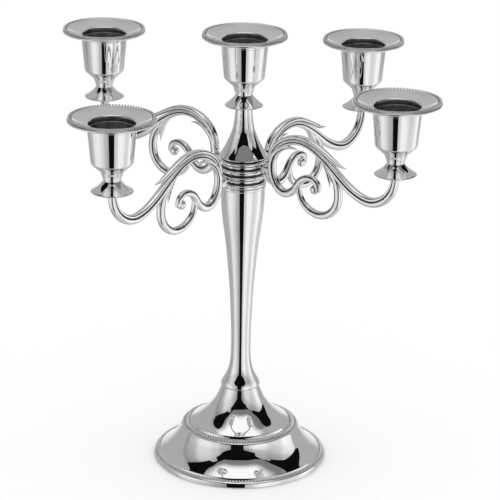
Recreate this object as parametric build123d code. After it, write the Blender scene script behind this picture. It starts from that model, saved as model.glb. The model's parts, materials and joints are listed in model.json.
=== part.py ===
from build123d import *
import math
import os

os.makedirs("parts", exist_ok=True)

# Five-light tabletop candelabra, in millimetres.
# Origin: centre of the underside. +Z up. The lower bar lies along X, the upper bar along Y.

# Driving dimensions
total_height = 270.0          # underside to the middle cup's rim
arm_reach = 113.9             # stem axis to the axis of an outer cup
lower_rim_height = 244.1      # top of the lower bar's two rims
bar_pitch = 8.3               # the upper bar sits this much higher
cup_height = 44.7             # rim top to the underside of the cup's foot
base_radius = 52.85
candle_socket_radius = 11.25  # takes a 22 mm dinner candle
sheet = 1.1                   # wall of the spun pieces

# Heights of the seams, from the underside up
felt_thickness = 1.2
plate_thickness = 1.0
rim_band_bottom = 0.4
stem_bottom = 46.5
cap_top = 176.7
cap_lip = 1.9
ring_height = 8.7
bar_gap = 0.05                # running gap above and below each ring
lower_ring_bottom = cap_top + bar_gap
upper_ring_bottom = lower_ring_bottom + ring_height + bar_gap
cone_bottom = upper_ring_bottom + ring_height + bar_gap
centre_foot_bottom = total_height - cup_height

# Radii on the axis
rod_radius = 2.5
rod_clearance = 0.25
bush_radius = 5.5
bush_clearance = 0.05
ring_radius = 14.1
neck_radius = 5.2

# Cups
rim_radius = 25.6
rim_edge = 1.7                # height of the rolled edge
mouth_radius = 13.3
collar_radius = 14.25
collar_depth = 7.0            # rim top to the seam between rim and cup
corner_depth = 27.0           # rim top to the cup's lower corner
socket_floor_depth = 26.5
socket_length = 11.5
neck_ring_depth = 32.5
waist_depth = 37.7
waist_radius = 5.0
outer_foot_radius = 12.35
centre_foot_radius = 11.5
foot_recess = 1.2
stud_radius = 1.5
stud_clearance = 0.05
stud_top_depth = 31.0

# Arms
arm_thickness = 5.2
boss_radius = 2.7
boss_height = 7.0
lug_width = 4.4
arm_foot_height = lower_rim_height - cup_height + foot_recess


def lathe(*edges):
    """Turn a closed outline of (radius, height) edges about the axis."""
    face = make_face(Curve() + list(edges))
    turned = revolve(Plane.XZ * face, axis=Axis.Z)
    return turned


def turned_outline(points):
    """Straight-sided closed outline, turned about the axis."""
    return lathe(Polyline(*points, close=True))


def disc(radius, bottom, top, hole=0.0):
    """Flat disc between two heights, with an optional hole."""
    solid = Pos(0, 0, bottom) * Cylinder(radius, top - bottom, align=(Align.CENTER, Align.CENTER, Align.MIN))
    if hole > 0:
        height = top - bottom
        solid -= Pos(0, 0, bottom) * Cylinder(hole, height, align=(Align.CENTER, Align.CENTER, Align.MIN))
    return solid


def save(shape, node):
    """Write one piece to its own file."""
    shape.label = node
    export_step(shape, f"parts/{node}.step")


# Foot

step_low = (49.4, 4.4)        # inner edge of the lower beaded ring
step_high = (32.2, 22.7)      # inner edge of the upper beaded ring
step_out = (35.6, 22.0)       # outer edge of the upper beaded ring
step_foot = (36.5, 19.0)      # where the lower flare starts


def foot_solid(inset, bottom):
    """The foot's turned form, moved in and down by inset, cut off at bottom."""
    def at(radius, height):
        return (radius - inset, height - inset)
    top_radius = 11.4 if inset == 0 else 10.4
    outline = [
        Line((0, bottom), (base_radius - inset, bottom)),
        Line((base_radius - inset, bottom), at(base_radius, 3.4)),
        Line(at(base_radius, 3.4), at(*step_low)),
        Spline(at(*step_low), at(46.4, 6.7), at(43.3, 9.3), at(40.2, 12.8), at(38.0, 16.1), at(*step_foot)),
        Line(at(*step_foot), at(*step_out)),
        Line(at(*step_out), at(*step_high)),
        Spline(at(*step_high), at(26.6, 26.2), at(22.0, 29.9), at(18.7, 33.0), at(16.3, 36.0), at(14.5, 39.0),
               at(13.1, 42.0), (top_radius, stem_bottom - inset)),
        Line((top_radius, stem_bottom - inset), (0, stem_bottom - inset)),
        Line((0, stem_bottom - inset), (0, bottom)),
    ]
    return lathe(*outline)


def make_base():
    """Spun foot, its filling, the closing plate and the felt."""
    rod_hole = rod_radius + rod_clearance
    weight_gap = 0.4
    nut_room = 9.0
    nut_room_top = 9.5
    plate_bottom = felt_thickness
    plate_top = plate_bottom + plate_thickness
    shell = foot_solid(0, rim_band_bottom) - foot_solid(sheet, rim_band_bottom)
    shell -= disc(rod_hole, 0, stem_bottom + 1)
    weight = foot_solid(sheet + weight_gap, plate_top)
    weight += disc(9.6, stem_bottom - 8, stem_bottom - sheet)
    weight -= disc(rod_hole, 0, stem_bottom + 1)
    weight -= disc(nut_room, 0, nut_room_top)
    plate = disc(base_radius - sheet, plate_bottom, plate_top, nut_room)
    felt = disc(base_radius - sheet - 0.4, 0, felt_thickness)
    save(shell, "base_shell")
    save(weight, "base_weight")
    save(plate, "base_plate")
    save(felt, "felt_pad")
    return nut_room_top


# Stem

stem_curve = [
    (13.35, 172.5), (13.15, 165.0), (12.45, 157.2), (11.0, 145.7), (9.5, 134.1), (8.35, 122.5),
    (7.45, 110.9), (6.75, 99.0), (6.2, 87.4), (5.95, 75.6), (6.33, 63.7), (7.2, 58.6), (8.3, 55.3), (10.2, 51.7),
]


def make_stem():
    """Hollow stem, standing on the foot, and the cap in its top."""
    wall = 1.0
    cap_bottom = cap_top - cap_lip
    spigot_length = 6.0
    outer = [(radius, height) for radius, height in stem_curve]
    inner = [(radius - wall, height) for radius, height in stem_curve]
    top = (13.4, cap_bottom)
    ridge = (11.85, 48.2)
    seam = (11.4, stem_bottom)
    stem = lathe(
        Spline(top, *outer, (11.45, 49.5), ridge),
        Spline(ridge, (11.8, 47.3), seam),
        Line(seam, (seam[0] - 1.5, stem_bottom)),
        Line((seam[0] - 1.5, stem_bottom), inner[-1]),
        Spline(*reversed(inner), (top[0] - wall, cap_bottom)),
        Line((top[0] - wall, cap_bottom), top),
    )
    rod_hole = rod_radius + rod_clearance
    spigot_radius = 11.9
    cap = turned_outline([
        (rod_hole, cap_bottom - spigot_length), (spigot_radius, cap_bottom - spigot_length),
        (spigot_radius, cap_bottom), (13.4, cap_bottom), (13.75, cap_bottom + 0.4),
        (13.75, cap_top - 0.4), (13.4, cap_top), (rod_hole, cap_top),
    ])
    save(stem, "stem")
    save(cap, "stem_cap")


# Fastenings on the axis

def make_rod(nut_top):
    """Tie rod with its washer and nut in the foot, and the sleeve that the bars turn on."""
    washer_thickness = 1.0
    nut_height = 4.0
    nut_across_flats = 8.0
    rod_top = cone_bottom + 9.0
    nut_bottom = nut_top - washer_thickness - nut_height
    rod = disc(rod_radius, nut_bottom - 1.5, rod_top)
    washer = disc(5.0, nut_top - washer_thickness, nut_top, rod_radius)
    hexagon = RegularPolygon(nut_across_flats / 2, 6, major_radius=False)
    nut = extrude(Pos(0, 0, nut_bottom) * hexagon, nut_height)
    nut -= disc(rod_radius, nut_bottom, nut_bottom + nut_height)
    bush = disc(bush_radius, cap_top, cone_bottom, rod_radius)
    save(rod, "tie_rod")
    save(washer, "rod_washer")
    save(nut, "rod_nut")
    save(bush, "hub_bush")
    return rod_top


def make_cone(rod_top):
    """Hollow concave cone with the threaded insert in its foot."""
    base = (14.4, cone_bottom)
    lip = (14.4, cone_bottom + 0.4)
    flare = [(13.95, 195.4), (12.6, 197.6), (11.4, 199.7), (10.3, 201.8), (9.3, 204.0), (7.8, 207.7), (6.5, 211.8)]
    neck = [(6.0, 214.7), (5.5, 218.0), (neck_radius, 223.0)]
    inner_flare = [(radius - sheet, height) for radius, height in flare]
    top = centre_foot_bottom + foot_recess
    cone = lathe(
        Line(base, lip),
        Spline(lip, *flare, *neck),
        Line(neck[-1], (neck_radius, top)),
        Line((neck_radius, top), (stud_radius, top)),
        Line((stud_radius, top), (stud_radius, top - 6)),
        Line((stud_radius, top - 6), (3.6, top - 8)),
        Line((3.6, top - 8), (4.6, 216.0)),
        Spline((4.6, 216.0), *reversed(inner_flare), (13.1, cone_bottom)),
        Line((13.1, cone_bottom), base),
    )
    insert_flange = 1.3
    insert = disc(12.0, cone_bottom, cone_bottom + insert_flange) + disc(6.6, cone_bottom, rod_top + 1)
    insert -= disc(rod_radius, 0, rod_top)
    save(cone, "centre_cone")
    save(insert, "cone_insert")


def make_ring(node, bottom):
    """Hub ring: a hollow waist between two rounded beads, and a narrow neck on top."""
    bore = bush_radius + bush_clearance
    bead_root = ring_radius - 0.7
    waist = ring_radius - 1.6
    neck = ring_radius - 1.5

    def at(radius, rise):
        return (radius, bottom + rise)

    ring = lathe(
        Line(at(bore, 0), at(bead_root, 0)),
        ThreePointArc(at(bead_root, 0), at(ring_radius, 1.0), at(bead_root, 2.0)),
        ThreePointArc(at(bead_root, 2.0), at(waist, 3.7), at(bead_root, 5.4)),
        ThreePointArc(at(bead_root, 5.4), at(ring_radius, 6.4), at(bead_root, 7.4)),
        Line(at(bead_root, 7.4), at(neck, 8.0)),
        Line(at(neck, 8.0), at(neck, ring_height)),
        Line(at(neck, ring_height), at(bore, ring_height)),
        Line(at(bore, ring_height), at(bore, 0)),
    )
    save(ring, node)
    return ring


# Candle cups

def make_cup(name, place, rim_top, foot_radius):
    """Drip pan, cup, foot and stud of one light, on the axis through place."""
    def level(depth):
        return rim_top - depth

    def put(shape, piece):
        save(Pos(*place, 0) * shape, f"{name}_{piece}")

    edge_bottom = (rim_radius - 0.5, level(rim_edge + 0.5))
    rim = lathe(
        ThreePointArc(edge_bottom, (rim_radius, level(rim_edge / 2 + 0.4)), (rim_radius - 0.6, level(0))),
        Line((rim_radius - 0.6, level(0)), (23.1, level(0.35))),
        Spline((23.1, level(0.35)), (19.0, level(2.1)), (14.7, level(3.6))),
        ThreePointArc((14.7, level(3.6)), (13.7, level(4.0)), (mouth_radius, level(4.7))),
        Line((mouth_radius, level(4.7)), (mouth_radius, level(collar_depth))),
        Line((mouth_radius, level(collar_depth)), (collar_radius, level(collar_depth))),
        Line((collar_radius, level(collar_depth)), (collar_radius, level(5.6))),
        Spline((collar_radius, level(5.6)), (19.0, level(3.5)), edge_bottom),
    )
    socket_top = socket_floor_depth - socket_length
    cup = lathe(
        Line((mouth_radius, level(collar_depth)), (candle_socket_radius, level(socket_top))),
        Line((candle_socket_radius, level(socket_top)), (candle_socket_radius, level(socket_floor_depth))),
        Line((candle_socket_radius, level(socket_floor_depth)), (0, level(socket_floor_depth))),
        Line((0, level(socket_floor_depth)), (0, level(waist_depth))),
        Line((0, level(waist_depth)), (waist_radius, level(waist_depth))),
        Line((waist_radius, level(waist_depth)), (6.7, level(neck_ring_depth))),
        Line((6.7, level(neck_ring_depth)), (11.6, level(corner_depth + 0.9))),
        ThreePointArc((11.6, level(corner_depth + 0.9)), (12.2, level(corner_depth)),
                      (12.45, level(corner_depth - 1.1))),
        Line((12.45, level(corner_depth - 1.1)), (14.15, level(collar_depth))),
        Line((14.15, level(collar_depth)), (mouth_radius, level(collar_depth))),
    )
    foot = lathe(
        Line((stud_radius, level(waist_depth)), (waist_radius, level(waist_depth))),
        Spline((waist_radius, level(waist_depth)), (7.6, level(40.6)), (foot_radius - 0.5, level(43.5))),
        ThreePointArc((foot_radius - 0.5, level(43.5)), (foot_radius, level(44.1)),
                      (foot_radius - 0.7, level(cup_height))),
        Line((foot_radius - 0.7, level(cup_height)), (foot_radius - 1.6, level(cup_height))),
        Line((foot_radius - 1.6, level(cup_height)), (neck_radius + 1.2, level(cup_height - foot_recess))),
        Line((neck_radius + 1.2, level(cup_height - foot_recess)), (stud_radius, level(cup_height - foot_recess))),
        Line((stud_radius, level(cup_height - foot_recess)), (stud_radius, level(waist_depth))),
    )
    stud_bottom = level(cup_height + 3.8)
    cup -= disc(stud_radius, level(waist_depth), level(stud_top_depth))
    stud = disc(stud_radius, stud_bottom, level(stud_top_depth))
    put(rim, "rim")
    put(cup, "cup")
    put(foot, "foot")
    put(stud, "stud")


# Arms, drawn in the plane of the arm as (reach, height) with their widths

def ribbon(points, widths, samples=14):
    """Flat strand that follows a smooth line through points, as wide as widths say along it."""
    line = Spline(*points)
    left = []
    right = []
    for index in range(samples + 1):
        share = index / samples
        spot = line @ share
        along = line % share
        across = Vector(-along.Y, along.X)
        position = share * (len(widths) - 1)
        whole = min(int(position), len(widths) - 2)
        half = 0.5 * (widths[whole] + (position - whole) * (widths[whole + 1] - widths[whole]))
        left.append(spot + across * half)
        right.append(spot - across * half)
    outline = Curve() + [
        Spline(*left), Line(left[-1], right[-1]), Spline(*reversed(right)), Line(right[0], left[0]),
    ]
    return make_face(outline)


main_arc = [(21.6, 187.0), (23.0, 193.5), (27.0, 198.8), (33.0, 202.4), (40.0, 204.2), (47.0, 204.4),
            (54.0, 203.0), (60.0, 200.6)]
crest_leaf = [(54.0, 203.3), (62.0, 200.6), (69.0, 197.2), (73.5, 195.2), (78.2, 194.6)]
hanging_leaf = [(54.0, 201.5), (60.5, 198.2), (65.0, 192.6), (67.2, 187.0), (67.0, 180.6)]
candle_branch = [(54.0, 202.4), (60.0, 199.4), (66.0, 194.8), (70.5, 190.9), (76.0, 186.6), (83.0, 182.3),
                 (90.0, 179.5), (96.0, 178.6), (102.0, 179.9), (107.5, 183.3), (111.6, 188.4),
                 (113.6, 194.0), (arm_reach, arm_foot_height)]
hub_scroll = [(41.3, 198.4), (35.5, 198.6), (29.5, 196.6), (24.6, 192.0), (22.4, 185.0), (23.4, 178.0),
              (26.8, 172.6), (32.2, 169.9), (37.0, 171.2), (40.8, 174.6), (44.2, 179.6), (48.6, 182.6),
              (53.6, 182.9), (57.2, 180.4), (58.0, 177.2)]
lower_scroll = [(66.5, 191.5), (71.2, 185.4), (73.0, 178.6), (72.2, 171.6), (68.2, 165.8), (62.0, 162.6),
                (55.4, 162.4), (49.0, 165.2), (44.6, 170.2), (43.6, 176.4)]
ball_centre = (55.2, 177.0)
ball_radius = 3.0


def arm_outline():
    """The whole scrolled arm as one flat face in the (reach, height) plane."""
    face = ribbon(main_arc, [3.4, 4.6, 5.6, 5.9, 5.9, 5.6])
    face += ribbon(crest_leaf, [3.6, 3.4, 3.2, 0.7])
    face += ribbon(hanging_leaf, [3.6, 3.8, 3.6, 0.7])
    face += ribbon(candle_branch, [3.8, 4.6, 5.6, 6.2, 6.2, 5.4, 4.6], samples=22)
    face += ribbon(hub_scroll, [1.0, 3.4, 5.2, 5.6, 5.2, 4.4, 3.8, 3.6], samples=30)
    face += ribbon(lower_scroll, [4.2, 5.0, 5.0, 4.8, 4.0, 3.0], samples=22)
    face += Pos(*ball_centre) * Circle(ball_radius)
    return face


def make_arm(node, turn, lift, ring):
    """One scrolled arm, turned about the stem, lifted to its bar's height and fitted to its ring."""
    plate = extrude(arm_outline(), arm_thickness / 2, both=True)
    arm = Rot(90, 0, 0) * plate
    lug_low = lower_ring_bottom + 1.2
    lug_high = lower_ring_bottom + ring_height - 1.2
    lug = Box(12.0, lug_width, lug_high - lug_low, align=(Align.MIN, Align.CENTER, Align.MIN))
    arm += Pos(10.5, 0, lug_low) * lug
    boss_base = Pos(arm_reach, 0, arm_foot_height - boss_height)
    arm += boss_base * Cylinder(boss_radius, boss_height, align=(Align.CENTER, Align.CENTER, Align.MIN))
    arm -= Pos(arm_reach, 0, 0) * disc(2 * boss_radius, arm_foot_height, arm_foot_height + boss_height)
    drill = Cylinder(stud_radius, boss_height, align=(Align.CENTER, Align.CENTER, Align.MIN))
    arm -= Pos(arm_reach, 0, arm_foot_height - 5.0) * drill
    arm = Rot(0, 0, turn) * Pos(0, 0, lift) * arm
    save(arm - ring, node)


# Everything in its place

nut_seat = make_base()
make_stem()
top_of_rod = make_rod(nut_seat)
make_cone(top_of_rod)
lower_ring = make_ring("lower_ring", lower_ring_bottom)
upper_ring = make_ring("upper_ring", upper_ring_bottom)
make_cup("centre", (0, 0), total_height, centre_foot_radius)

lights = [("right", 0, 0.0, lower_ring), ("rear", 90, bar_pitch, upper_ring),
          ("left", 180, 0.0, lower_ring), ("front", 270, bar_pitch, upper_ring)]
for side, turn, lift, ring in lights:
    angle = math.radians(turn)
    spot = (arm_reach * math.cos(angle), arm_reach * math.sin(angle))
    make_arm(f"{side}_arm", turn, lift, ring)
    make_cup(side, spot, lower_rim_height + lift, outer_foot_radius)
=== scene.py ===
import json
import math

import bmesh
import bpy
import numpy as np
from mathutils import Matrix, Vector


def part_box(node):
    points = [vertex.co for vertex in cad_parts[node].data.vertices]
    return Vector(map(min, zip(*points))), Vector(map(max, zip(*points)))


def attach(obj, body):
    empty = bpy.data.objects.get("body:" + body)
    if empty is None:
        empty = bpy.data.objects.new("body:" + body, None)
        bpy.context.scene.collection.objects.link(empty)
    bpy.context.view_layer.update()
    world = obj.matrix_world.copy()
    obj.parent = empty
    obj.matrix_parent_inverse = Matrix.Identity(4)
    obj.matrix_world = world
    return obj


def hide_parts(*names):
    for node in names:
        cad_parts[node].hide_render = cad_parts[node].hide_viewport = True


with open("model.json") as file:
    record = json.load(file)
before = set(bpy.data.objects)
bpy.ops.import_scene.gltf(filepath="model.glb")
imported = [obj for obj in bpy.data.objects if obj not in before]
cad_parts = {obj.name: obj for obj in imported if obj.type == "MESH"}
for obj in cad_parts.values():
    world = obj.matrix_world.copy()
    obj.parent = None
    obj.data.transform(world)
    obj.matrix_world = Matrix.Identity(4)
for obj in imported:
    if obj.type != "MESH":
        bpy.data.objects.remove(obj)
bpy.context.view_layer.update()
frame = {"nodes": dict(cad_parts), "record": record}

mm = 0.001
weldDistance = 1e-7  # metres
sockets = {m["name"]: Vector(m["pos_m"]) for m in frame["record"]["mounts"]}
print("frame loaded:", len(frame["nodes"]), "nodes")


def smoothLine(points, perSpan=8):
    # natural cubic through the points, spaced by the length of its spans
    knots = np.array(points, float)
    if len(knots) < 3:
        return knots
    gaps = np.linalg.norm(np.diff(knots, axis=0), axis=1)
    count = len(knots)
    matrix = np.eye(count)
    right = np.zeros_like(knots)
    for i in range(1, count - 1):
        matrix[i, i - 1:i + 2] = gaps[i - 1], 2 * (gaps[i - 1] + gaps[i]), gaps[i]
        right[i] = 6 * ((knots[i + 1] - knots[i]) / gaps[i] - (knots[i] - knots[i - 1]) / gaps[i - 1])
    bend = np.linalg.solve(matrix, right)
    line = []
    for i in range(count - 1):
        for k in range(perSpan):
            t = k / perSpan * gaps[i]
            rest = gaps[i] - t
            line.append(bend[i] * rest ** 3 / (6 * gaps[i]) + bend[i + 1] * t ** 3 / (6 * gaps[i])
                        + (knots[i] / gaps[i] - bend[i] * gaps[i] / 6) * rest
                        + (knots[i + 1] / gaps[i] - bend[i + 1] * gaps[i] / 6) * t)
    line.append(knots[-1])
    return np.array(line)


def shortened(line, cut):
    # takes a length off the end of a line, and leaves more than half of the span where the cut falls
    largestShare = 0.45
    line = list(line)
    while len(line) > 2 and np.linalg.norm(line[-1] - line[-2]) <= cut:
        cut -= np.linalg.norm(line[-1] - line[-2])
        line.pop()
    step = line[-1] - line[-2]
    size = np.linalg.norm(step)
    line[-1] = line[-1] - step * min(cut / size, largestShare)
    return np.array(line)


def outline(stretches, edge=0.25, closed=True, perSpan=8):
    # joins straight and smooth stretches, and rounds each corner between them by about edge
    lines = [smoothLine(s, perSpan) for s in stretches]
    count = len(lines)
    corners = [line[-1].copy() for line in lines]
    joints = count if closed else count - 1
    for i in range(joints):
        j = (i + 1) % count
        lines[i] = shortened(lines[i], edge)
        lines[j] = shortened(lines[j][::-1], edge)[::-1]
    points = []
    for i, line in enumerate(lines):
        points.extend(line)
        if i < joints:
            start = line[-1]
            end = lines[(i + 1) % count][0]
            for t in (0.25, 0.5, 0.75):
                points.append((1 - t) ** 2 * start + 2 * t * (1 - t) * corners[i] + t * t * end)
    return np.array(points)


def meshObject(name, vertices, faces, material, second=None, chosen=()):
    # a smooth closed mesh; the chosen faces take the second finish
    mesh = bpy.data.meshes.new(name)
    mesh.from_pydata([tuple(v) for v in vertices], [], faces)
    mesh.materials.append(material)
    if second:
        mesh.materials.append(second)
    for i in chosen:
        mesh.polygons[i].material_index = 1
    mesh.validate()
    form = bmesh.new()
    form.from_mesh(mesh)
    bmesh.ops.remove_doubles(form, verts=form.verts, dist=weldDistance)
    bmesh.ops.recalc_face_normals(form, faces=form.faces)
    form.to_mesh(mesh)
    form.free()
    for face in mesh.polygons:
        face.use_smooth = True
    piece = bpy.data.objects.new(name, mesh)
    bpy.context.scene.collection.objects.link(piece)
    return piece


def turned(name, points, centre, steps, material, closed=True, second=None, bands=()):
    # a lathe form: the outline in mm turned about the upright axis through centre; each band is a span of
    # radius and a span of height that take the second finish
    points = np.asarray(points, float)
    points[:, 0] = np.maximum(points[:, 0], 0)
    angles = np.linspace(0, 2 * math.pi, steps, endpoint=False)
    vertices = []
    for angle in angles:
        c, s = math.cos(angle), math.sin(angle)
        for radius, height in points:
            vertices.append((centre.x + radius * mm * c, centre.y + radius * mm * s, height * mm))
    count = len(points)
    last = count if closed else count - 1
    faces = []
    chosen = []
    for i in range(steps):
        j = (i + 1) % steps
        for k in range(last):
            n = (k + 1) % count
            radius, height = (points[k] + points[n]) / 2
            for near, far, low, high in bands:
                if near < radius < far and low < height < high:
                    chosen.append(len(faces))
            faces.append((i * count + k, j * count + k, j * count + n, i * count + n))
    return meshObject(name, vertices, faces, material, second, chosen)


strandShape = {
    "sides": 36, "square": 0.84,  # faces round the strand, and how squarish its section is
    # darkWidth is how wide the band of painted shade down each groove is
    "groove": 0.20, "grooveWidth": 0.22, "darkWidth": 0.17,
    "dome": (1.3, 0.95, 0.55, 0.25), "plainStart": 6, "plainEnd": 8,
}


def strandShell(line, halfWidths, halfDepths, groove=0.0):
    # one closed strand that follows a flat line, with a groove down each face and domed ends; the third list
    # it gives back is the faces in the groove, which are painted near-black as shade
    sides = strandShape["sides"]
    square = strandShape["square"]
    line = np.asarray(line, float)
    count = len(line)
    share = np.linspace(0, 1, count)
    wide = np.interp(share, np.linspace(0, 1, len(halfWidths)), halfWidths)
    deep = np.interp(share, np.linspace(0, 1, len(halfDepths)), halfDepths)
    along = np.gradient(line, axis=0)
    along /= np.linalg.norm(along, axis=1)[:, None]
    dome = [(math.sin(angle), math.cos(angle)) for angle in strandShape["dome"]]
    rings = []
    for push, size in dome:
        rings.append((line[0] - along[0] * wide[0] * push, along[0], wide[0] * size, deep[0] * size))
    for i in range(count):
        rings.append((line[i], along[i], wide[i], deep[i]))
    for push, size in reversed(dome):
        rings.append((line[-1] + along[-1] * wide[-1] * push, along[-1], wide[-1] * size, deep[-1] * size))
    vertices = []
    for spot, tangent, halfWidth, halfDepth in rings:
        across = np.array([-tangent[1], tangent[0]])
        for k in range(sides):
            turn = 2 * math.pi * k / sides
            c, s = math.cos(turn), math.sin(turn)
            flat = spot + across * halfWidth * math.copysign(abs(c) ** square, c)
            cut = strandShape["groove"] * math.exp(-((c - groove) / strandShape["grooveWidth"]) ** 2)
            height = math.copysign(abs(s) ** square, s) * (1 - cut)
            vertices.append((flat[0], halfDepth * height, flat[1]))
    faces = []
    grooved = []
    for i in range(len(rings) - 1):
        between = strandShape["plainStart"] < i < len(rings) - strandShape["plainEnd"]
        for k in range(sides):
            n = (k + 1) % sides
            fromGroove = abs(math.cos(2 * math.pi * (k + 0.5) / sides) - groove)
            if between and fromGroove < strandShape["darkWidth"]:
                grooved.append(len(faces))
            faces.append((i * sides + k, i * sides + n, (i + 1) * sides + n, (i + 1) * sides + k))
    faces.append(tuple(reversed(range(sides))))
    end = (len(rings) - 1) * sides
    faces.append(tuple(range(end, end + sides)))
    return vertices, faces, grooved


def ballShell(spot, radius, depth, rings=14, sides=24):
    vertices = [(spot[0], 0, spot[1] + radius)]
    for i in range(1, rings):
        lean = math.pi * i / rings
        for k in range(sides):
            turn = 2 * math.pi * k / sides
            vertices.append((spot[0] + radius * math.sin(lean) * math.cos(turn),
                             depth * math.sin(lean) * math.sin(turn), spot[1] + radius * math.cos(lean)))
    vertices.append((spot[0], 0, spot[1] - radius))
    faces = [(0, 1 + k, 1 + (k + 1) % sides) for k in range(sides)]
    for i in range(rings - 2):
        upper = 1 + i * sides
        lower = upper + sides
        for k in range(sides):
            n = (k + 1) % sides
            faces.append((upper + k, lower + k, lower + n, upper + n))
    foot = len(vertices) - 1
    last = 1 + (rings - 2) * sides
    faces += [(foot, last + (k + 1) % sides, last + k) for k in range(sides)]
    return vertices, faces, []


def newMaterial(name):
    material = bpy.data.materials.new(name)
    material.use_nodes = True
    nodes = material.node_tree.nodes
    return material, nodes, material.node_tree.links, nodes["Principled BSDF"]


def noise(nodes, links, place, scale, detail):
    texture = nodes.new("ShaderNodeTexNoise")
    texture.inputs["Scale"].default_value = scale
    texture.inputs["Detail"].default_value = detail
    links.new(place, texture.inputs["Vector"])
    return texture.outputs["Fac"]


cloudSpan = (0.3, 0.7)  # nearly all of a noise's values lie in it


def spread(nodes, links, value, low, high):
    node = nodes.new("ShaderNodeMapRange")
    node.inputs["From Min"].default_value = cloudSpan[0]
    node.inputs["From Max"].default_value = cloudSpan[1]
    node.inputs["To Min"].default_value = low
    node.inputs["To Max"].default_value = high
    links.new(value, node.inputs["Value"])
    return node.outputs["Result"]


def tinted(nodes, links, value, dark, light):
    node = nodes.new("ShaderNodeMix")
    node.data_type = "RGBA"
    node.inputs["A"].default_value = dark
    node.inputs["B"].default_value = light
    links.new(value, node.inputs["Factor"])
    return node.outputs["Result"]


def raised(nodes, links, shader, value, strength, distance):
    bump = nodes.new("ShaderNodeBump")
    bump.inputs["Strength"].default_value = strength
    bump.inputs["Distance"].default_value = distance
    links.new(value, bump.inputs["Height"])
    links.new(bump.outputs["Normal"], shader.inputs["Normal"])


def finish(name, look):
    # a metal or filling: cloudy colour and roughness, and a fine raised grain
    material, nodes, links, shader = newMaterial(name)
    shader.inputs["Metallic"].default_value = look["metallic"]
    place = nodes.new("ShaderNodeTexCoord").outputs["Object"]
    if "stretch" in look:
        mapping = nodes.new("ShaderNodeMapping")
        mapping.inputs["Scale"].default_value = look["stretch"]
        links.new(place, mapping.inputs["Vector"])
        place = mapping.outputs["Vector"]
    cloud = noise(nodes, links, place, look["cloud"], detail=4.0)
    grain = noise(nodes, links, place, look["grain"], detail=3.0)
    share = spread(nodes, links, cloud, 0.0, 1.0)
    links.new(tinted(nodes, links, share, look["dark"], look["light"]), shader.inputs["Base Color"])
    links.new(spread(nodes, links, cloud, *look["roughness"]), shader.inputs["Roughness"])
    raised(nodes, links, shader, grain, look["relief"], look["depth"])
    return material


silver = finish("silverPlate", {
    "metallic": 1.0, "dark": (0.93, 0.93, 0.925, 1), "light": (0.975, 0.975, 0.97, 1),
    "cloud": 34.0, "grain": 900.0, "roughness": (0.018, 0.045), "relief": 0.06, "depth": 0.00002})
castSilver = finish("castSilver", {
    "metallic": 1.0, "dark": (0.92, 0.92, 0.915, 1), "light": (0.98, 0.98, 0.975, 1),
    "cloud": 90.0, "grain": 260.0, "roughness": (0.01, 0.03), "relief": 0.10, "depth": 0.00008})
# near-black silver for the arms' grooves and the hub rings' waist and neck: painted shade in these hollows
paintedRecessShade = finish("paintedRecessShade", {
    "metallic": 1.0, "dark": (0.04, 0.04, 0.041, 1), "light": (0.13, 0.13, 0.13, 1),
    "cloud": 150.0, "grain": 500.0, "roughness": (0.04, 0.10), "relief": 0.1, "depth": 0.00005})
# grey silver on the ledges under the rings of beads: painted shadow of the beads, seen between them
paintedBeadShadow = finish("paintedBeadShadow", {
    "metallic": 1.0, "dark": (0.46, 0.46, 0.462, 1), "light": (0.62, 0.62, 0.62, 1),
    "cloud": 300.0, "grain": 900.0, "roughness": (0.08, 0.18), "relief": 0.1, "depth": 0.00005})
# dark, rough silver inside the sockets: painted shade in the hollow
paintedSocketShade = finish("paintedSocketShade", {
    "metallic": 1.0, "dark": (0.27, 0.27, 0.272, 1), "light": (0.48, 0.48, 0.482, 1),
    "cloud": 240.0, "grain": 1400.0, "roughness": (0.34, 0.50), "relief": 0.30, "depth": 0.00006})
steel = finish("steel", {
    "metallic": 1.0, "dark": (0.50, 0.51, 0.53, 1), "light": (0.66, 0.66, 0.65, 1), "stretch": (1, 1, 0.12),
    "cloud": 220.0, "grain": 1600.0, "roughness": (0.26, 0.40), "relief": 0.15, "depth": 0.00004})
brass = finish("brass", {
    "metallic": 1.0, "dark": (0.62, 0.44, 0.18, 1), "light": (0.80, 0.61, 0.30, 1), "stretch": (1, 1, 0.2),
    "cloud": 180.0, "grain": 1500.0, "roughness": (0.20, 0.34), "relief": 0.12, "depth": 0.00004})
ballast = finish("ballast", {
    "metallic": 0.0, "dark": (0.16, 0.15, 0.145, 1), "light": (0.34, 0.33, 0.31, 1),
    "cloud": 120.0, "grain": 700.0, "roughness": (0.80, 0.95), "relief": 0.7, "depth": 0.0004})
felt = finish("felt", {
    "metallic": 0.0, "dark": (0.010, 0.010, 0.012, 1), "light": (0.035, 0.035, 0.038, 1),
    "cloud": 500.0, "grain": 2600.0, "roughness": (0.90, 1.0), "relief": 0.8, "depth": 0.0003})
innerFinishes = {"steel": steel, "brass": brass, "ballast": ballast, "felt": felt}
for row in frame["record"]["subparts"]:
    if row["material_slot"] in innerFinishes:
        node = frame["nodes"][row["node"]]
        node.data.materials.clear()
        node.data.materials.append(innerFinishes[row["material_slot"]])
print("finishes made")


beadShape = {"segments": 8, "rings": 5}


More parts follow.
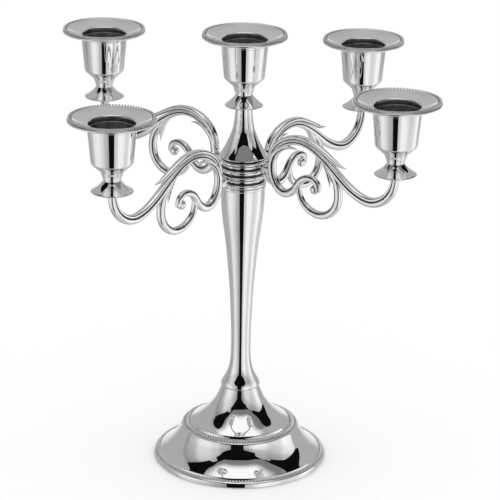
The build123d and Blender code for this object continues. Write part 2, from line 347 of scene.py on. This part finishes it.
def beadTree():
    # beads round a circle: how many, how far out, how high, how big, and how they lean
    tree = bpy.data.node_groups.new("beadRow", "GeometryNodeTree")
    kinds = {"Count": "Int", "Radius": "Float", "Centre": "Vector", "Size": "Vector", "Slant": "Float",
             "Tilt": "Float", "Finish": "Material"}
    inputs = {}
    for name, kind in kinds.items():
        socket = tree.interface.new_socket(name, in_out="INPUT", socket_type="NodeSocket" + kind)
        inputs[name] = socket.identifier
    tree.interface.new_socket("Beads", in_out="OUTPUT", socket_type="NodeSocketGeometry")
    nodes, links = tree.nodes, tree.links

    def add(kind, **values):
        node = nodes.new(kind)
        for key, value in values.items():
            setattr(node, key, value)
        return node

    given = add("NodeGroupInput").outputs
    circle = add("GeometryNodeMeshCircle")
    links.new(given["Count"], circle.inputs["Vertices"])
    links.new(given["Radius"], circle.inputs["Radius"])
    bead = add("GeometryNodeMeshUVSphere")
    bead.inputs["Segments"].default_value = beadShape["segments"]
    bead.inputs["Rings"].default_value = beadShape["rings"]
    bead.inputs["Radius"].default_value = 1.0
    sized = add("GeometryNodeTransform")
    links.new(bead.outputs["Mesh"], sized.inputs["Geometry"])
    links.new(given["Size"], sized.inputs["Scale"])
    lean = add("ShaderNodeCombineXYZ")
    links.new(given["Slant"], lean.inputs["Z"])
    leaned = add("GeometryNodeTransform")
    links.new(sized.outputs["Geometry"], leaned.inputs["Geometry"])
    links.new(lean.outputs["Vector"], leaned.inputs["Rotation"])
    step = add("ShaderNodeMath", operation="DIVIDE")
    step.inputs[0].default_value = 2 * math.pi
    links.new(given["Count"], step.inputs[1])
    angle = add("ShaderNodeMath", operation="MULTIPLY")
    links.new(add("GeometryNodeInputIndex").outputs["Index"], angle.inputs[0])
    links.new(step.outputs[0], angle.inputs[1])
    facing = add("ShaderNodeCombineXYZ")
    links.new(given["Tilt"], facing.inputs["Y"])
    links.new(angle.outputs[0], facing.inputs["Z"])
    placed = add("GeometryNodeInstanceOnPoints")
    links.new(circle.outputs["Mesh"], placed.inputs["Points"])
    links.new(leaned.outputs["Geometry"], placed.inputs["Instance"])
    links.new(facing.outputs["Vector"], placed.inputs["Rotation"])
    moved = add("GeometryNodeTransform")
    links.new(placed.outputs["Instances"], moved.inputs["Geometry"])
    links.new(given["Centre"], moved.inputs["Translation"])
    real = add("GeometryNodeRealizeInstances")
    links.new(moved.outputs["Geometry"], real.inputs["Geometry"])
    smooth = add("GeometryNodeSetShadeSmooth")
    links.new(real.outputs["Geometry"], smooth.inputs["Geometry"])
    plated = add("GeometryNodeSetMaterial")
    links.new(smooth.outputs["Geometry"], plated.inputs["Geometry"])
    links.new(given["Finish"], plated.inputs["Material"])
    links.new(plated.outputs["Geometry"], add("NodeGroupOutput").inputs["Beads"])
    return tree, inputs


beadRow, beadInputs = beadTree()


def beads(name, body, centre, row):
    # one ring of beads; row says how it is laid, in mm and degrees
    piece = bpy.data.objects.new(name, bpy.data.meshes.new(name))
    bpy.context.scene.collection.objects.link(piece)
    modifier = piece.modifiers.new("beads", "NODES")
    modifier.node_group = beadRow
    values = {
        "Count": row["count"], "Radius": row["radius"] * mm,
        "Centre": (centre.x, centre.y, centre.z + row["height"] * mm),
        "Size": [half * mm for half in row["size"]],
        "Slant": math.radians(row["slant"]), "Tilt": math.radians(row["tilt"]), "Finish": silver}
    for key, value in values.items():
        modifier[beadInputs[key]] = value
    evaluated = piece.evaluated_get(bpy.context.evaluated_depsgraph_get())
    mesh = bpy.data.meshes.new_from_object(evaluated)
    piece.modifiers.clear()
    piece.data = mesh
    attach(piece, body)


cupShape = {
    "rimRadius": 25.57, "mouth": 13.3, "collar": 14.25, "rimDepth": 7.0, "socket": 11.25,
    "corner": 27.0, "floor": 26.5, "neckRing": 32.5, "waist": 37.7, "height": 44.7,
    "rimSteps": 160, "cupSteps": 128, "footSteps": 96,
    # the seat band under the rim's beads is painted grey as their shadow
    "beadShadowNear": 23.0, "beadShadowFar": 25.3, "beadShadowLow": 1.6, "beadShadowHigh": 0.9,  # where the beads lie in the rim
    # how far the painted shade inside a socket goes: below the top, past the mouth and under the floor
    "shadeTop": 4.45, "shadeSlack": 0.4, "shadeDepth": 1.0,
}
rimBeads = {
    "count": 86, "radius": 24.2, "height": -0.84, "size": (0.98, 0.56, 0.84), "slant": 18, "tilt": 8,
}


def rimOutline(top):
    c = cupShape
    return outline([
        [(25.2, top - 1.45), (23.1, top - 1.35)],
        [(23.1, top - 1.35), (22.7, top - 0.55)],
        [(22.7, top - 0.55), (21.0, top - 1.35), (18.0, top - 2.55), (14.9, top - 3.5)],
        [(14.9, top - 3.5), (13.7, top - 4.0), (c["mouth"], top - 4.9)],
        [(c["mouth"], top - 4.9), (c["mouth"], top - c["rimDepth"])],
        [(c["mouth"], top - c["rimDepth"]), (c["collar"], top - c["rimDepth"])],
        [(c["collar"], top - c["rimDepth"]), (c["collar"], top - 5.9)],
        [(c["collar"], top - 5.9), (19.0, top - 4.1), (24.2, top - 3.0)],
        [(24.2, top - 3.0), (25.1, top - 2.8), (25.5, top - 2.4), (c["rimRadius"], top - 1.9),
         (25.2, top - 1.45)],
    ], edge=0.2)


def cupOutline(top):
    c = cupShape
    return outline([
        [(c["mouth"], top - c["rimDepth"]), (12.1, top - 13.0), (c["socket"], top - 15.2)],
        [(c["socket"], top - 15.2), (c["socket"], top - c["floor"])],
        [(c["socket"], top - c["floor"]), (0, top - c["floor"])],
    ], edge=0.4, closed=False), outline([
        [(0, top - c["waist"]), (5.0, top - c["waist"])],
        [(5.0, top - c["waist"]), (6.75, top - c["neckRing"])],
        [(6.75, top - c["neckRing"]), (11.4, top - c["corner"] - 1.2)],
        [(11.4, top - c["corner"] - 1.2), (12.1, top - c["corner"] - 0.3), (12.4, top - c["corner"] + 1.0)],
        [(12.4, top - c["corner"] + 1.0), (14.15, top - c["rimDepth"])],
        [(14.15, top - c["rimDepth"]), (c["mouth"], top - c["rimDepth"])],
    ], edge=0.22, closed=False)


def footOutline(top, radius):
    c = cupShape
    low = top - c["height"]
    return outline([
        [(0, low + 1.2), (6.4, low + 1.2)],
        [(6.4, low + 1.2), (radius - 1.6, low + 0.05)],
        [(radius - 1.6, low + 0.05), (radius - 0.7, low), (radius, low + 0.6), (radius - 0.5, low + 1.2)],
        [(radius - 0.5, low + 1.2), (7.6, low + 4.1), (5.0, top - c["waist"])],
        [(5.0, top - c["waist"]), (0, top - c["waist"])],
    ], edge=0.2, closed=False)


def shadeSocketInside(piece, spot, highest):
    # the inside of a socket, its wall and its floor, is dull and painted darker as shade in the hollow
    piece.data.materials.append(paintedSocketShade)
    shadeSlot = len(piece.data.materials) - 1
    reach = (cupShape["mouth"] + cupShape["shadeSlack"]) * mm
    lowest = (highest - cupShape["floor"] - cupShape["shadeDepth"]) * mm
    for face in piece.data.polygons:
        outward = Vector((face.center.x - spot.x, face.center.y - spot.y, 0))
        if outward.length > reach or face.center.z > highest * mm:
            continue
        facesInward = face.normal.dot(outward.normalized()) < -0.2
        isFloor = face.normal.z > 0.6 and face.center.z > lowest
        if facesInward or isFloor:
            face.material_index = shadeSlot


bodyOf = {
    "centre": "stand", "left": "lower_bar", "right": "lower_bar", "front": "upper_bar", "rear": "upper_bar",
}
for side, body in bodyOf.items():
    spot = sockets[f"{side}_socket"]
    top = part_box(f"{side}_rim")[1].z / mm
    footRadius = (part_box(f"{side}_foot")[1].x - spot.x) / mm
    # the seat band takes the painted shadow under the beads
    seat = (cupShape["beadShadowNear"], cupShape["beadShadowFar"], top - cupShape["beadShadowLow"], top - cupShape["beadShadowHigh"])
    rim = turned(f"{side}Rim", rimOutline(top), spot, cupShape["rimSteps"], silver,
                 second=paintedBeadShadow, bands=[seat])
    inside, outside = cupOutline(top)
    cupLine = np.vstack([outside, inside[1:]])
    cup = turned(f"{side}Cup", cupLine, spot, cupShape["cupSteps"], silver, closed=False)
    shadeSocketInside(rim, spot, top - cupShape["shadeTop"])
    shadeSocketInside(cup, spot, top)
    footLine = footOutline(top, footRadius)
    foot = turned(f"{side}Foot", footLine, spot, cupShape["footSteps"], silver, closed=False)
    for piece, node in ((rim, "rim"), (cup, "cup"), (foot, "foot")):
        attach(piece, body)
        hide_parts(f"{side}_{node}")
    beads(f"{side}RimBeads", body, Vector((spot.x, spot.y, top * mm)), rimBeads)
print("cups made")


axis = Vector((0, 0, 0))
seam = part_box("stem")[0].z / mm
standSteps = {"stem": 160, "cone": 128, "base": 256}


def stemShell():
    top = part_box("stem_cap")[1].z / mm
    line = outline([
        [(0, seam), (11.4, seam)],
        [(11.4, seam), (11.8, seam + 0.8), (11.85, seam + 1.7), (11.45, 49.5), (10.2, 51.7), (8.2, 55.5),
         (6.92, 59.7), (6.33, 63.7), (6.02, 69.5), (5.95, 75.6), (6.1, 84.0), (6.55, 95.2), (7.15, 107.0),
         (7.95, 118.0), (8.85, 128.0), (9.95, 138.5), (11.1, 147.0), (12.3, 156.0), (13.05, 163.5),
         (13.35, 171.0), (13.42, top - 1.95)],
        [(13.42, top - 1.95), (13.75, top - 1.6), (13.8, top - 0.9), (13.7, top - 0.3), (13.4, top)],
        [(13.4, top), (0, top)],
    ], edge=0.2, closed=False)
    stem = turned("stemShell", line, axis, standSteps["stem"], silver, closed=False)
    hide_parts("stem", "stem_cap")
    return stem


def hubCone():
    low, high = [corner.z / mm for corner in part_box("centre_cone")]
    line = outline([
        [(0, low), (14.4, low)],
        [(14.4, low), (14.4, low + 0.4)],
        [(14.4, low + 0.4), (13.95, 195.4), (12.6, 197.6), (11.4, 199.7), (10.3, 201.8), (9.3, 204.0),
         (7.8, 207.7), (6.5, 211.8), (6.0, 214.7), (5.5, 218.0), (5.2, 223.0), (5.2, high)],
        [(5.2, high), (0, high)],
    ], edge=0.25, closed=False)
    cone = turned("hubCone", line, axis, standSteps["cone"], silver, closed=False)
    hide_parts("centre_cone")
    return cone


upperBeads = {
    "count": 112, "radius": 32.5, "height": 22.2, "size": (1.65, 0.60, 0.82), "slant": 24, "tilt": 19,
}
lowerBeads = {
    "count": 168, "radius": 50.4, "height": 3.75, "size": (1.12, 0.60, 0.76), "slant": 24, "tilt": 12,
}
# bands painted grey as shadow under the foot's two rings of beads, as radius and height spans in mm
upperBeadShadow = (30.7, 34.4, 21.2, 22.8)
lowerBeadShadow = (49.5, 51.4, 3.1, 3.8)


def baseShell():
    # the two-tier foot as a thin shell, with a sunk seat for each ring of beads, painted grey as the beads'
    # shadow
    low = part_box("base_shell")[0].z / mm
    line = outline([
        [(51.6, low), (52.85, low)],
        [(52.85, low), (52.85, 2.3)],
        [(52.85, 2.3), (52.5, 3.1), (51.7, 3.7)],
        [(51.7, 3.7), (51.3, 3.2)],
        [(51.3, 3.2), (49.6, 3.55)],
        [(49.6, 3.55), (49.3, 4.2)],
        [(49.3, 4.2), (48.9, 4.9)],
        [(48.9, 4.9), (46.4, 6.7), (43.3, 9.3), (40.2, 12.8), (38.0, 16.1), (36.5, 19.0), (35.9, 20.9)],
        [(35.9, 20.9), (35.4, 21.6), (34.7, 21.9)],
        [(34.7, 21.9), (34.3, 21.3)],
        [(34.3, 21.3), (30.8, 22.55)],
        [(30.8, 22.55), (30.4, 23.4)],
        [(30.4, 23.4), (29.9, 24.2)],
        [(29.9, 24.2), (26.6, 26.2), (22.0, 29.9), (18.7, 33.0), (16.3, 36.0), (14.5, 39.0), (13.1, 42.0),
         (12.2, 44.3), (11.4, seam)],
        [(11.4, seam), (9.0, seam)],
        [(9.0, seam), (9.0, seam - 1.0), (14.0, 38.0), (20.4, 29.6), (26.0, 24.6), (34.0, 20.4),
         (38.9, 12.0), (44.5, 5.9), (48.5, 3.4), (51.2, 2.0)],
        [(51.2, 2.0), (51.6, low)],
    ], edge=0.18)
    bands = [upperBeadShadow, lowerBeadShadow]
    base = turned("baseShell", line, axis, standSteps["base"], silver, second=paintedBeadShadow, bands=bands)
    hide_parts("base_shell")
    return base


for piece in (stemShell(), hubCone(), baseShell()):
    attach(piece, "stand")
beads("upperFootBeads", "stand", axis, upperBeads)
beads("lowerFootBeads", "stand", axis, lowerBeads)
print("stand made")


ringShape = {"bore": 5.6, "neck": 12.6, "steps": 128}


def hubRing(node, body):
    # a hollow waist between two rounded beads, and a narrow neck on top; the waist and the neck are painted
    # near-black as shade
    bottom, top = [corner.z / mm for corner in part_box(node)]
    bore, neck = ringShape["bore"], ringShape["neck"]
    line = outline([
        [(bore, bottom), (13.3, bottom)],
        [(13.3, bottom), (13.95, bottom + 0.45), (14.1, bottom + 1.1), (13.9, bottom + 1.8),
         (13.3, bottom + 2.2)],
        [(13.3, bottom + 2.2), (12.6, bottom + 3.0), (12.5, bottom + 4.0), (12.75, bottom + 4.9),
         (13.4, bottom + 5.4)],
        [(13.4, bottom + 5.4), (13.95, bottom + 5.85), (14.1, bottom + 6.5), (13.8, bottom + 7.1),
         (13.2, bottom + 7.4)],
        [(13.2, bottom + 7.4), (neck, bottom + 7.9), (neck, top)],
        [(neck, top), (bore, top)],
        [(bore, top), (bore, bottom)],
    ], edge=0.12)
    # bands on the waist and the neck that take the painted shade
    bands = [(12.3, 13.3, bottom + 2.3, bottom + 3.7), (12.3, 13.3, bottom + 7.35, top + 0.1)]
    ring = turned(body + "Ring", line, axis, ringShape["steps"], silver, second=paintedRecessShade, bands=bands)
    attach(ring, body)
    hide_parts(node)


hubRing("lower_ring", "lower_bar")
hubRing("upper_ring", "upper_bar")


# the right arm's strands in mm, as reach and height; the other arms are this one turned
strands = {
    "crest": {
        "line": [(21.6, 188.6), (24.2, 196.0), (28.5, 200.6), (34.2, 203.9), (40.0, 205.7), (45.5, 206.05),
                 (51.0, 205.4), (57.0, 203.4), (63.0, 200.6), (69.0, 197.4), (73.5, 195.5), (78.0, 194.7)],
        "wide": [1.5, 1.6, 1.6, 1.55, 1.6, 1.5, 1.3, 0.25], "deep": [2.3, 2.4, 2.4, 2.4, 2.3, 2.0, 1.5, 0.4],
        "groove": -0.5},
    "branch": {
        "line": [(24.6, 191.5), (29.2, 197.6), (35.0, 201.1), (41.0, 202.8), (47.0, 202.9), (53.0, 201.5),
                 (59.0, 198.6), (65.0, 194.8), (70.5, 190.8), (76.0, 186.6), (83.0, 182.3),
                 (90.0, 179.5), (96.0, 178.6), (102.0, 179.9), (107.5, 183.3), (111.6, 188.4),
                 (113.6, 194.0), (113.9, 200.6)],
        "wide": [1.3, 1.5, 1.6, 1.9, 2.4, 2.9, 3.05, 3.0, 2.7, 2.3],
        "deep": [2.0, 2.3, 2.4, 2.5, 2.6, 2.6, 2.6, 2.6, 2.5, 2.3], "groove": 0.25},
    "leafInner": {
        "line": [(54.0, 200.6), (60.0, 197.4), (63.9, 192.3), (65.9, 187.0), (66.7, 181.2)],
        "wide": [1.3, 1.4, 1.3, 1.1, 0.2], "deep": [1.8, 2.2, 2.2, 1.8, 0.4], "groove": 0.4},
    "leafOuter": {
        "line": [(56.0, 199.8), (62.5, 195.4), (66.3, 190.0), (68.2, 186.2), (69.5, 183.4)],
        "wide": [1.1, 1.2, 1.3, 1.1, 0.2], "deep": [1.8, 2.0, 2.0, 1.6, 0.4], "groove": 0.4},
    "hubScroll": {
        "line": [(41.3, 198.4), (35.5, 198.6), (29.5, 196.6), (24.6, 192.0), (22.4, 185.0), (23.4, 178.0),
                 (26.8, 172.6), (32.2, 169.9), (37.0, 171.2), (40.8, 174.6), (44.2, 179.6), (48.6, 182.6),
                 (53.6, 182.9), (57.2, 180.4), (57.9, 177.4)],
        "wide": [0.3, 1.7, 2.6, 2.8, 2.6, 2.2, 1.9, 1.8], "deep": [0.5, 2.2, 2.6, 2.6, 2.6, 2.4, 2.0, 1.8],
        "groove": 0.5},
    "lowerScroll": {
        "line": [(66.5, 191.5), (71.2, 185.4), (73.0, 178.6), (72.2, 171.6), (68.2, 165.8), (62.0, 162.6),
                 (55.4, 162.4), (49.0, 165.2), (44.6, 170.2), (43.6, 176.4)],
        "wide": [2.0, 2.5, 2.5, 2.4, 2.0, 1.4], "deep": [2.2, 2.5, 2.5, 2.5, 2.2, 1.8], "groove": -0.5},
}
ball = {"spot": (55.2, 177.0), "radius": 3.0, "depth": 2.6}
# the lug joins the hub scroll to the hub ring, and rise is its height above the ring's foot
lug = {"from": 14.4, "to": 22.5, "rise": 4.1, "wide": [2.7, 2.5], "deep": [2.1, 2.1]}


def armMesh(name, turn, lift):
    vertices = []
    faces = []
    grooved = []

    def add(shell):
        start = len(vertices)
        grooved.extend([len(faces) + i for i in shell[2]])
        vertices.extend(shell[0])
        faces.extend([tuple(start + i for i in face) for face in shell[1]])

    for strand in strands.values():
        line = smoothLine(strand["line"], 10)
        add(strandShell(line, strand["wide"], strand["deep"], strand["groove"]))
    add(ballShell(ball["spot"], ball["radius"], ball["depth"]))
    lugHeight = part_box("lower_ring")[0].z / mm + lug["rise"]
    lugLine = np.linspace((lug["from"], lugHeight), (lug["to"], lugHeight), 6)
    add(strandShell(lugLine, lug["wide"], lug["deep"]))
    spin = Matrix.Rotation(math.radians(turn), 4, "Z")
    placed = [spin @ (Vector((x, y, z + lift)) * mm) for x, y, z in vertices]
    # the faces in the grooves take the painted shade
    return meshObject(name, placed, faces, castSilver, paintedRecessShade, grooved)


for side, turn in (("right", 0), ("rear", 90), ("left", 180), ("front", 270)):
    lift = (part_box(f"{side}_arm")[1].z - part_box("right_arm")[1].z) / mm
    arm = armMesh(f"{side}Arm", turn, lift)
    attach(arm, bodyOf[side])
    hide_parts(f"{side}_arm")
print("arms made")


shot = {"azimuth": -49.76, "elevation": 19.825, "roll": 0.814, "distance": 1.60858, "lens": 191.49,
        "sensor": 36, "aside": 0.00482, "height": 0.134214}


def shotAxes():
    # level directions to the camera's right and towards the camera
    turn = math.radians(shot["azimuth"])
    return Vector((math.cos(turn), math.sin(turn), 0)), Vector((math.sin(turn), -math.cos(turn), 0))


def addCamera():
    lean = math.radians(shot["elevation"])
    roll = math.radians(shot["roll"])
    right, front = shotAxes()
    back = front * math.cos(lean) + Vector((0, 0, math.sin(lean)))
    up = back.cross(right)
    rolledRight = right * math.cos(roll) + up * math.sin(roll)
    rolledUp = up * math.cos(roll) - right * math.sin(roll)
    target = right * shot["aside"] + Vector((0, 0, shot["height"]))
    place = target + back * shot["distance"]
    camera = bpy.data.objects.new("camera", bpy.data.cameras.new("camera"))
    camera.data.lens = shot["lens"]
    camera.data.sensor_width = shot["sensor"]
    camera.matrix_world = Matrix((
        (rolledRight.x, rolledUp.x, back.x, place.x), (rolledRight.y, rolledUp.y, back.y, place.y),
        (rolledRight.z, rolledUp.z, back.z, place.z), (0, 0, 0, 1)))
    bpy.context.scene.collection.objects.link(camera)
    bpy.context.scene.camera = camera


addCamera()


# each cloth is flat and upright: its bearing in degrees from the front, how far away it is, how far it runs
# to each side, its corners' heights, all in metres, and its light along it and up it
tent = {
    "rightWall": {
        "faces": 70.0, "away": 0.424, "from": -0.797, "to": 0.382,
        "bottom": (-0.75, -0.45), "top": (0.410, 0.450),
        "light": [(0.0, 0.52), (0.16, 0.58), (0.38, 0.87), (0.51, 0.83), (0.61, 0.63), (0.71, 0.69),
                  (0.81, 0.92), (0.93, 0.84), (1.0, 0.60)],
        "fade": [(0.0, 0.66), (0.46, 1.0), (0.70, 1.0), (0.80, 0.82), (0.90, 0.52), (1.0, 0.42)]},
    "leftWall": {
        "faces": -82.0, "away": 0.400, "from": -0.170, "to": 1.604,
        "bottom": (-0.45, -1.00), "top": (0.500, 0.690),
        "light": [(0.0, 0.37), (0.064, 0.45), (0.123, 0.74), (0.187, 0.77), (0.265, 0.65), (0.384, 0.45),
                  (0.627, 0.32), (1.0, 0.26)],
        "fade": [(0.0, 0.60), (0.42, 1.0), (0.55, 1.05), (0.73, 0.82), (1.0, 0.53)]},
    "slit": {
        "faces": 0.0, "away": 0.950, "from": -0.30, "to": 0.26,
        "bottom": (-1.15, -1.15), "top": (0.62, 0.62),
        "light": [(0.0, 0.004), (1.0, 0.004)], "fade": [(0.0, 1.0), (1.0, 1.0)]},
}
# the black cloth over the walls: its upper edge is given as right, front and height, and its lower edge is
# tucked behind the wall or the slit that it is over
blackCloth = {
    "edge": [(-0.31, -0.09, 0.62), (-0.31, 0.0, 0.62), (-0.342, 0.092, 0.63), (-0.344, 0.199, 0.638),
             (-0.36, 0.36, 0.625), (-0.267, 0.462, 0.540), (-0.110, 0.415, 0.450), (0.0, 0.412, 0.432),
             (0.1065, 0.398, 0.432), (0.2535, 0.439, 0.487), (0.39, 0.39, 0.51), (0.39, 0.225, 0.51),
             (0.37, 0.0, 0.51), (0.345, -0.13, 0.50), (0.37, -0.20, 0.44)],
    "leftFrom": -0.15, "rightFrom": 0.15, "behind": 0.003, "foot": 0.45, "tuck": 0.03,
    "rearFrom": -0.1, "rearFoot": 0.2, "level": 0.004,
}
# light levels outside the tent, and the directions they lie in, as degrees from the front or as a sine
studio = {
    "ceiling": {"side": (0.55, 0.27), "front": (0.66, 0.30), "back": (0.32, 0.22), "level": 1.0},
    "roof": 0.20, "room": 0.41, "roomFrom": (104, 118), "roomBack": 0.47, "backFrom": (150, 172),
    "backLight": 0.92, "backLightFrom": (145, 172), "backLightHeight": (0.20, 0.06),
    "tableLeft": 0.42, "tableRight": 0.60, "tableSides": 0.35, "tableHeight": (-0.28, -0.42),
    "soft": 1.06, "glow": 1.07,
}


class Maths:
    # short names for chains of Math nodes
    def __init__(self, tree):
        self.nodes = tree.nodes
        self.links = tree.links

    def run(self, kind, *values):
        node = self.nodes.new("ShaderNodeMath")
        node.operation = kind
        for i, value in enumerate(values):
            self.feed(node.inputs[i], value)
        return node.outputs[0]

    def feed(self, socket, value):
        if isinstance(value, (int, float)):
            socket.default_value = value
        else:
            self.links.new(value, socket)

    def step(self, value, low, high):
        node = self.nodes.new("ShaderNodeMapRange")
        node.interpolation_type = "SMOOTHSTEP"
        self.feed(node.inputs["Value"], value)
        node.inputs["From Min"].default_value = low
        node.inputs["From Max"].default_value = high
        return node.outputs["Result"]

    def mix(self, share, first, second):
        return self.run("ADD", first, self.run("MULTIPLY", share, self.run("SUBTRACT", second, first)))


def dotWith(maths, direction, vector):
    node = maths.nodes.new("ShaderNodeVectorMath")
    node.operation = "DOT_PRODUCT"
    maths.links.new(direction, node.inputs[0])
    node.inputs[1].default_value = vector
    return node.outputs["Value"]


def ramp(nodes, links, value, stops):
    node = nodes.new("ShaderNodeValToRGB")
    node.color_ramp.interpolation = "EASE"
    while len(node.color_ramp.elements) < len(stops):
        node.color_ramp.elements.new(0.5)
    for element, (position, level) in zip(node.color_ramp.elements, stops):
        element.position = position
        element.color = (level, level, level, 1)
    links.new(value, node.inputs["Fac"])
    return node.outputs["Color"]


def tentLight(name, light, fade):
    # glowing cloth, lit along its length and up its height
    material = bpy.data.materials.new(name)
    material.use_nodes = True
    nodes, links = material.node_tree.nodes, material.node_tree.links
    nodes.clear()
    place = nodes.new("ShaderNodeUVMap")
    split = nodes.new("ShaderNodeSeparateXYZ")
    links.new(place.outputs["UV"], split.inputs["Vector"])
    product = nodes.new("ShaderNodeVectorMath")
    product.operation = "MULTIPLY"
    links.new(ramp(nodes, links, split.outputs["X"], light), product.inputs[0])
    links.new(ramp(nodes, links, split.outputs["Y"], fade), product.inputs[1])
    glow = nodes.new("ShaderNodeEmission")
    out = nodes.new("ShaderNodeOutputMaterial")
    links.new(product.outputs["Vector"], glow.inputs["Color"])
    glow.inputs["Strength"].default_value = studio["glow"]
    links.new(glow.outputs["Emission"], out.inputs["Surface"])
    material.cycles.emission_sampling = "NONE"
    return material


def addCloth(name, corners, faces, material):
    # it is seen in polished metal only, and it gives no shadow
    mesh = bpy.data.meshes.new(name)
    mesh.from_pydata([tuple(corner) for corner in corners], [], faces)
    layer = mesh.uv_layers.new(name="along")
    for face in mesh.polygons:
        for loop, spot in zip(face.loop_indices, ((0, 0), (1, 0), (1, 1), (0, 1))):
            layer.data[loop].uv = spot
    mesh.materials.append(material)
    piece = bpy.data.objects.new(name, mesh)
    piece.visible_camera = False
    piece.visible_diffuse = False
    piece.visible_shadow = False
    bpy.context.scene.collection.objects.link(piece)


def addTent():
    # a light tent round the table: two cloth walls that leave a slit in front, and black cloth over them
    right, front = shotAxes()
    up = Vector((0, 0, 1))
    for name, wall in tent.items():
        aim = math.radians(wall["faces"])
        out = right * math.sin(aim) + front * math.cos(aim)
        along = right * math.cos(aim) - front * math.sin(aim)
        reaches = (wall["from"], wall["to"], wall["to"], wall["from"])
        heights = wall["bottom"] + wall["top"][::-1]
        corners = []
        for reach, height in zip(reaches, heights):
            corners.append(out * wall["away"] + along * reach + up * height)
        addCloth(name, corners, [(0, 1, 2, 3)], tentLight(name, wall["light"], wall["fade"]))
    addBlackCloth(right, front, up)


def wallBelow(x):
    if x < blackCloth["leftFrom"]:
        return tent["leftWall"]
    if x > blackCloth["rightFrom"]:
        return tent["rightWall"]
    return tent["slit"]


def addBlackCloth(right, front, up):
    cloth = blackCloth
    corners = []
    for x, y, height in cloth["edge"]:
        wall = wallBelow(x)
        bearing = math.atan2(x, y)
        reach = (wall["away"] + cloth["behind"]) / math.cos(bearing - math.radians(wall["faces"]))
        foot = min(wall["top"][0], cloth["foot"]) - cloth["tuck"]
        if x > 0 and y < cloth["rearFrom"]:
            foot = cloth["rearFoot"]
        corners.append(right * reach * math.sin(bearing) + front * reach * math.cos(bearing) + up * foot)
        corners.append(right * x + front * y + up * height)
    faces = [(2 * i, 2 * i + 2, 2 * i + 3, 2 * i + 1) for i in range(len(cloth["edge"]) - 1)]
    even = [(0.0, 1.0), (1.0, 1.0)]
    black = [(0.0, cloth["level"]), (1.0, cloth["level"])]
    addCloth("blackCloth", corners, faces, tentLight("blackCloth", black, even))


def addStudio():
    # what lies outside the tent: a lamp overhead, a grey room, a white wall low behind and the pale table
    world = bpy.data.worlds.new("studio")
    bpy.context.scene.world = world
    world.use_nodes = True
    world.cycles.sampling_method = "NONE"
    tree = world.node_tree
    m = Maths(tree)
    direction = tree.nodes.new("ShaderNodeTexCoord").outputs["Generated"]
    right, front = shotAxes()
    side = dotWith(m, direction, right)
    ahead = dotWith(m, direction, front)
    up = dotWith(m, direction, (0, 0, 1))
    rearward = m.run("ABSOLUTE", m.run("MULTIPLY", m.run("ARCTAN2", side, ahead), 180 / math.pi))
    level = m.mix(m.step(rearward, *studio["roomFrom"]), studio["roof"], studio["room"])
    level = m.mix(m.step(rearward, *studio["backFrom"]), level, studio["roomBack"])
    isLow = m.step(up, *studio["backLightHeight"])
    isBehind = m.step(rearward, *studio["backLightFrom"])
    level = m.mix(m.run("MULTIPLY", isLow, isBehind), level, studio["backLight"])
    level = m.mix(overhead(m, side, ahead, up), level, studio["ceiling"]["level"])
    half = studio["tableSides"]
    table = m.mix(m.step(side, -half, half), studio["tableLeft"], studio["tableRight"])
    level = m.mix(m.step(up, *studio["tableHeight"]), level, table)
    paths = tree.nodes.new("ShaderNodeLightPath")
    level = m.mix(paths.outputs["Is Diffuse Ray"], level, studio["soft"])
    level = m.mix(paths.outputs["Is Camera Ray"], level, 1.0)
    tree.links.new(level, tree.nodes["Background"].inputs["Color"])


def overhead(m, side, ahead, up):
    # 1 on the ceiling lamp and 0 off it, with soft edges, from where the direction meets a level ceiling
    ceiling = studio["ceiling"]
    leastRise = 0.001  # the division stays finite
    height = m.run("MAXIMUM", up, leastRise)
    across = m.run("DIVIDE", m.run("ABSOLUTE", side), height)
    forward = m.run("DIVIDE", ahead, height)
    backward = m.run("MULTIPLY", forward, -1.0)
    ends = m.run("MULTIPLY", m.step(forward, *ceiling["front"]), m.step(backward, *ceiling["back"]))
    return m.run("MULTIPLY", m.step(across, *ceiling["side"]), ends)


floorShape = {"half": 4.0, "pale": 0.97, "roughness": 0.9}


def addFloor():
    # a pale floor; polished metal sees through it to the tent and the table's light
    half = floorShape["half"]
    floor = bpy.data.meshes.new("floor")
    corners = [(-half, -half, 0), (half, -half, 0), (half, half, 0), (-half, half, 0)]
    floor.from_pydata(corners, [], [(0, 1, 2, 3)])
    piece = bpy.data.objects.new("floor", floor)
    bpy.context.scene.collection.objects.link(piece)
    material, nodes, links, shader = newMaterial("floorPaper")
    pale = floorShape["pale"]
    shader.inputs["Base Color"].default_value = (pale, pale, pale, 1)
    shader.inputs["Roughness"].default_value = floorShape["roughness"]
    shader.inputs["Specular IOR Level"].default_value = 0.0
    clear = nodes.new("ShaderNodeBsdfTransparent")
    paths = nodes.new("ShaderNodeLightPath")
    mixed = nodes.new("ShaderNodeMixShader")
    links.new(paths.outputs["Is Glossy Ray"], mixed.inputs["Fac"])
    links.new(shader.outputs["BSDF"], mixed.inputs[1])
    links.new(clear.outputs["BSDF"], mixed.inputs[2])
    links.new(mixed.outputs["Shader"], nodes["Material Output"].inputs["Surface"])
    floor.materials.append(material)


addTent()
addStudio()
addFloor()
bpy.context.scene.view_settings.view_transform = "Standard"
print("studio set")
